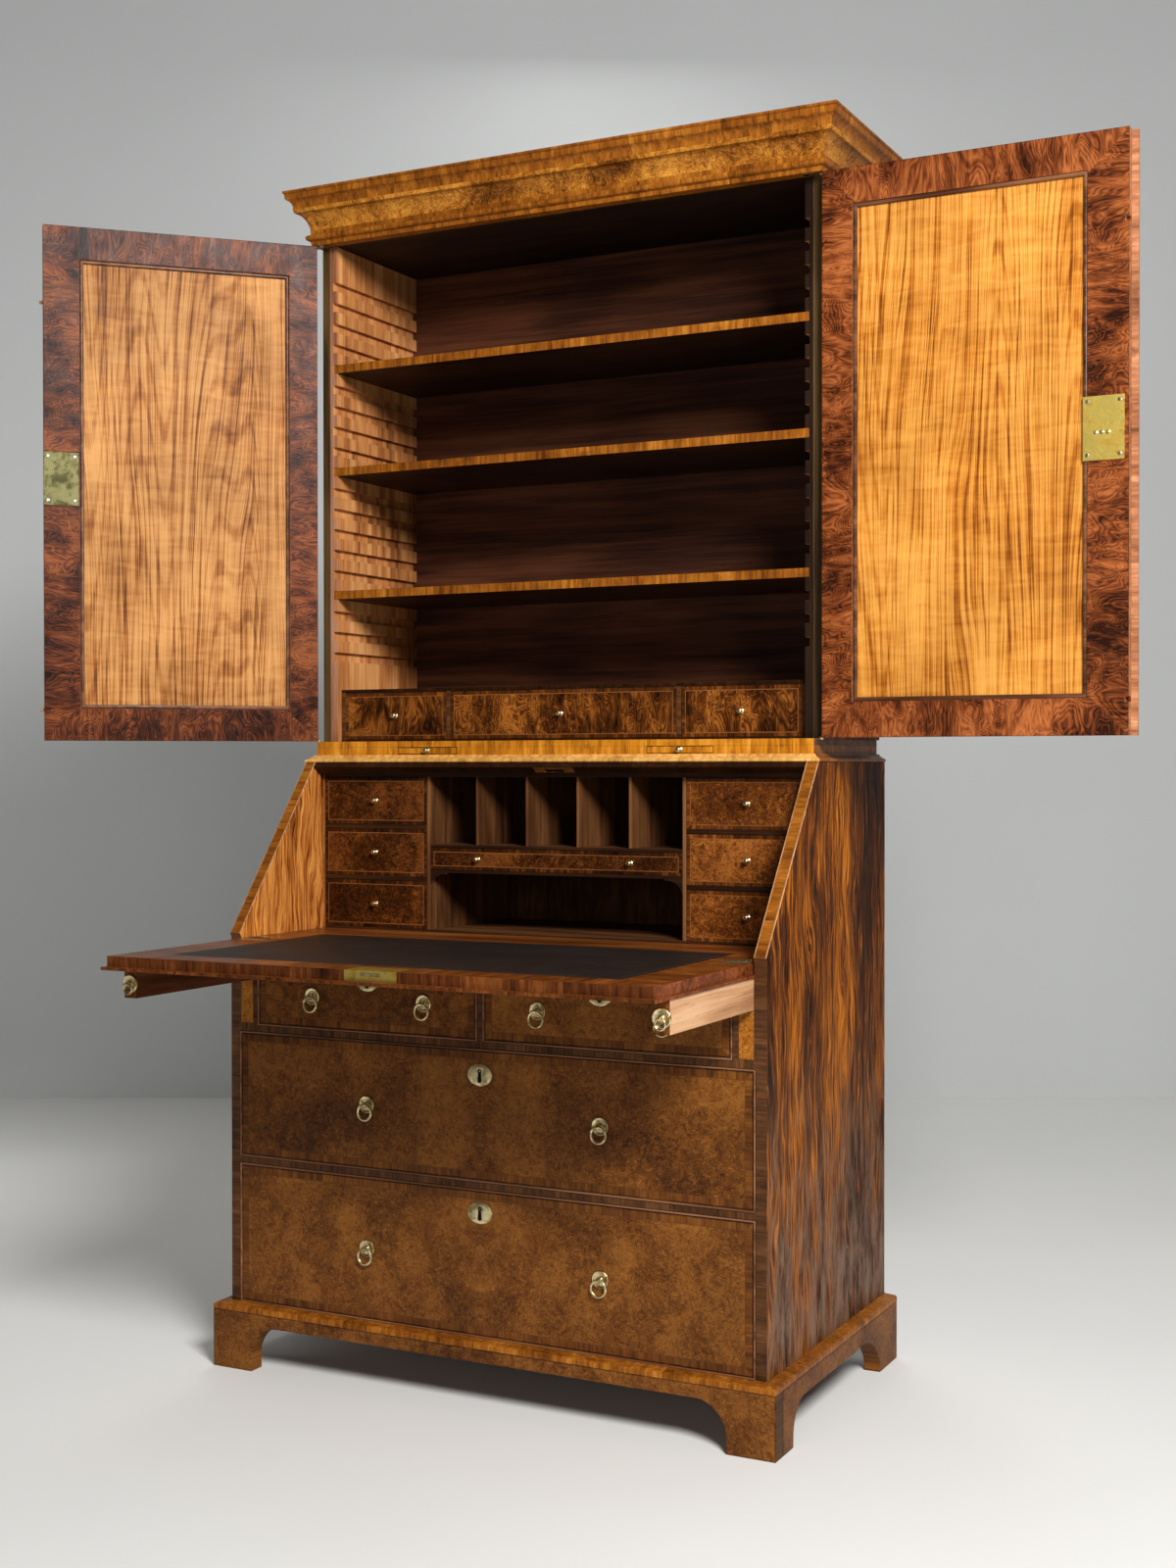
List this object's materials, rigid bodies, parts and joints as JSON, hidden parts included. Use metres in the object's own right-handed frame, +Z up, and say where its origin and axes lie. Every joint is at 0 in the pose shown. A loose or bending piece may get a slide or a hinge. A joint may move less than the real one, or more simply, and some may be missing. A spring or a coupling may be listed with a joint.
{
  "type": "bureau bookcase",
  "caption": "Slope-front writing bureau on bracket feet with a two-door bookcase on top, its fall, lopers, drawers, candle slides and shelves moving.",
  "frame": {"origin": "on the floor, in the plane of the feet's soles, under the middle of the bureau carcase's width and depth", "axes": "+Z up, +Y to the back, +X to the right of someone facing the front"},
  "size_m": [1.8583, 0.92, 2.116],
  "materials": {
    "walnut_veneer": "polished",
    "burr_walnut": "polished",
    "crossgrain_walnut": "polished",
    "plain_oak": "matte",
    "desk_leather": "worn",
    "aged_brass": "satin"
  },
  "bodies": {
    "cabinet": {"base_moulding": "crossgrain_walnut", "bookcase_back": "plain_oak", "bookcase_drawer_case": "walnut_veneer", "bookcase_floor": "walnut_veneer", "bookcase_side_left": "walnut_veneer", "bookcase_side_right": "walnut_veneer", "bookcase_top": "plain_oak", "bracket_base_front": "walnut_veneer", "bracket_base_sides": "walnut_veneer", "bureau_back": "plain_oak", "bureau_bottom": "plain_oak", "bureau_side_left": "walnut_veneer", "bureau_side_right": "walnut_veneer", "bureau_top": "walnut_veneer", "candle_slide_rail": "walnut_veneer", "cornice": "crossgrain_walnut", "desk_floor": "walnut_veneer", "drawer_rails": "plain_oak", "fixed_brasses": "aged_brass", "grooved_linings": "walnut_veneer", "pigeonhole_case": "walnut_veneer", "waist_moulding": "crossgrain_walnut"},
    "left_door": {"left_door_frame": "crossgrain_walnut", "left_door_panel": "burr_walnut", "left_door_brasses": "aged_brass"},
    "right_door": {"right_door_frame": "crossgrain_walnut", "right_door_panel": "burr_walnut", "right_door_brasses": "aged_brass"},
    "right_door_bolt": {"right_door_bolt": "aged_brass"},
    "fall": {"fall_board": "crossgrain_walnut", "fall_leather": "desk_leather", "fall_brasses": "aged_brass"},
    "fall_bolt": {"fall_bolt": "aged_brass"},
    "loper_left": {"loper_left": "plain_oak"},
    "loper_right": {"loper_right": "plain_oak"},
    "loper_ring_left": {"loper_ring_left": "aged_brass"},
    "loper_ring_right": {"loper_ring_right": "aged_brass"},
    "desk_drawer_left_1": {"desk_drawer_left_1": "burr_walnut"},
    "desk_drawer_left_2": {"desk_drawer_left_2": "burr_walnut"},
    "desk_drawer_left_3": {"desk_drawer_left_3": "burr_walnut"},
    "desk_drawer_right_1": {"desk_drawer_right_1": "burr_walnut"},
    "desk_drawer_right_2": {"desk_drawer_right_2": "burr_walnut"},
    "desk_drawer_right_3": {"desk_drawer_right_3": "burr_walnut"},
    "bookcase_drawer_left": {"bookcase_drawer_left": "burr_walnut"},
    "bookcase_drawer_middle": {"bookcase_drawer_middle": "burr_walnut"},
    "bookcase_drawer_right": {"bookcase_drawer_right": "burr_walnut"},
    "short_drawer_left": {"short_drawer_left": "burr_walnut"},
    "short_drawer_right": {"short_drawer_right": "burr_walnut"},
    "long_drawer_upper": {"long_drawer_upper": "burr_walnut"},
    "long_drawer_lower": {"long_drawer_lower": "burr_walnut"},
    "shelf_top": {"shelf_top": "walnut_veneer"},
    "shelf_middle": {"shelf_middle": "walnut_veneer"},
    "shelf_bottom": {"shelf_bottom": "walnut_veneer"},
    "candle_slide_left": {"candle_slide_left": "walnut_veneer"},
    "candle_slide_right": {"candle_slide_right": "walnut_veneer"},
    "desk_shallow_drawer": {"desk_shallow_drawer": "burr_walnut"},
    "short_drawer_left_rings": {"short_drawer_left_rings": "aged_brass"},
    "short_drawer_right_rings": {"short_drawer_right_rings": "aged_brass"},
    "long_drawer_upper_rings": {"long_drawer_upper_rings": "aged_brass"},
    "long_drawer_lower_rings": {"long_drawer_lower_rings": "aged_brass"}
  },
  "joints": [
    {"name": "left_door_hinge", "type": "hinge", "parent": "cabinet", "child": "left_door", "pos_m": [-0.497, -0.0217, 1.55775], "axis": [0, 0, -1], "range_deg": [-135, 45]},
    {"name": "right_door_hinge", "type": "hinge", "parent": "cabinet", "child": "right_door", "pos_m": [0.497, -0.0217, 1.55775], "axis": [0, 0, 1], "range_deg": [-180, 0]},
    {"name": "right_door_bolt_slide", "type": "slide", "parent": "right_door", "child": "right_door_bolt", "axis": [1, 0, 0], "range_m": [0, 0.008]},
    {"name": "fall_hinge", "type": "hinge", "parent": "cabinet", "child": "fall", "pos_m": [0, -0.269, 0.75], "axis": [1, 0, 0], "range_deg": [-127.4, 0]},
    {"name": "fall_bolt_slide", "type": "slide", "parent": "fall", "child": "fall_bolt", "axis": [0, -1, 0], "range_m": [0, 0.007]},
    {"name": "loper_left_slide", "type": "slide", "parent": "cabinet", "child": "loper_left", "axis": [0, -1, 0], "range_m": [-0.306, 0]},
    {"name": "loper_ring_left_swing", "type": "hinge", "parent": "loper_left", "child": "loper_ring_left", "pos_m": [-0.4707, -0.5925, 0.7015], "axis": [-1, 0, 0], "range_deg": [0, 90]},
    {"name": "loper_right_slide", "type": "slide", "parent": "cabinet", "child": "loper_right", "axis": [0, -1, 0], "range_m": [-0.306, 0]},
    {"name": "loper_ring_right_swing", "type": "hinge", "parent": "loper_right", "child": "loper_ring_right", "pos_m": [0.4707, -0.5925, 0.7015], "axis": [-1, 0, 0], "range_deg": [0, 90]},
    {"name": "short_drawer_left_slide", "type": "slide", "parent": "cabinet", "child": "short_drawer_left", "axis": [0, -1, 0], "range_m": [0, 0.38]},
    {"name": "short_drawer_left_rings_swing", "type": "hinge", "parent": "short_drawer_left", "child": "short_drawer_left_rings", "pos_m": [0, -0.288, 0.656], "axis": [-1, 0, 0], "range_deg": [0, 90]},
    {"name": "short_drawer_right_slide", "type": "slide", "parent": "cabinet", "child": "short_drawer_right", "axis": [0, -1, 0], "range_m": [0, 0.38]},
    {"name": "short_drawer_right_rings_swing", "type": "hinge", "parent": "short_drawer_right", "child": "short_drawer_right_rings", "pos_m": [0, -0.288, 0.656], "axis": [-1, 0, 0], "range_deg": [0, 90]},
    {"name": "long_drawer_upper_slide", "type": "slide", "parent": "cabinet", "child": "long_drawer_upper", "axis": [0, -1, 0], "range_m": [0, 0.38]},
    {"name": "long_drawer_upper_rings_swing", "type": "hinge", "parent": "long_drawer_upper", "child": "long_drawer_upper_rings", "pos_m": [0, -0.288, 0.479], "axis": [-1, 0, 0], "range_deg": [0, 90]},
    {"name": "long_drawer_lower_slide", "type": "slide", "parent": "cabinet", "child": "long_drawer_lower", "axis": [0, -1, 0], "range_m": [0, 0.38]},
    {"name": "long_drawer_lower_rings_swing", "type": "hinge", "parent": "long_drawer_lower", "child": "long_drawer_lower_rings", "pos_m": [0, -0.288, 0.235], "axis": [-1, 0, 0], "range_deg": [0, 90]},
    {"name": "desk_drawer_left_1_slide", "type": "slide", "parent": "cabinet", "child": "desk_drawer_left_1", "axis": [0, -1, 0], "range_m": [0, 0.2]},
    {"name": "desk_drawer_left_2_slide", "type": "slide", "parent": "cabinet", "child": "desk_drawer_left_2", "axis": [0, -1, 0], "range_m": [0, 0.2]},
    {"name": "desk_drawer_left_3_slide", "type": "slide", "parent": "cabinet", "child": "desk_drawer_left_3", "axis": [0, -1, 0], "range_m": [0, 0.2]},
    {"name": "desk_drawer_right_1_slide", "type": "slide", "parent": "cabinet", "child": "desk_drawer_right_1", "axis": [0, -1, 0], "range_m": [0, 0.2]},
    {"name": "desk_drawer_right_2_slide", "type": "slide", "parent": "cabinet", "child": "desk_drawer_right_2", "axis": [0, -1, 0], "range_m": [0, 0.2]},
    {"name": "desk_drawer_right_3_slide", "type": "slide", "parent": "cabinet", "child": "desk_drawer_right_3", "axis": [0, -1, 0], "range_m": [0, 0.2]},
    {"name": "desk_shallow_drawer_slide", "type": "slide", "parent": "cabinet", "child": "desk_shallow_drawer", "axis": [0, -1, 0], "range_m": [0, 0.2]},
    {"name": "bookcase_drawer_left_slide", "type": "slide", "parent": "cabinet", "child": "bookcase_drawer_left", "axis": [0, -1, 0], "range_m": [0, 0.18]},
    {"name": "bookcase_drawer_middle_slide", "type": "slide", "parent": "cabinet", "child": "bookcase_drawer_middle", "axis": [0, -1, 0], "range_m": [0, 0.18]},
    {"name": "bookcase_drawer_right_slide", "type": "slide", "parent": "cabinet", "child": "bookcase_drawer_right", "axis": [0, -1, 0], "range_m": [0, 0.18]},
    {"name": "candle_slide_left_slide", "type": "slide", "parent": "cabinet", "child": "candle_slide_left", "axis": [0, -1, 0], "range_m": [0, 0.18]},
    {"name": "candle_slide_right_slide", "type": "slide", "parent": "cabinet", "child": "candle_slide_right", "axis": [0, -1, 0], "range_m": [0, 0.18]},
    {"name": "shelf_top_slide", "type": "slide", "parent": "cabinet", "child": "shelf_top", "axis": [0, -1, 0], "range_m": [0, 0.2]},
    {"name": "shelf_middle_slide", "type": "slide", "parent": "cabinet", "child": "shelf_middle", "axis": [0, -1, 0], "range_m": [0, 0.2]},
    {"name": "shelf_bottom_slide", "type": "slide", "parent": "cabinet", "child": "shelf_bottom", "axis": [0, -1, 0], "range_m": [0, 0.2]}
  ]
}
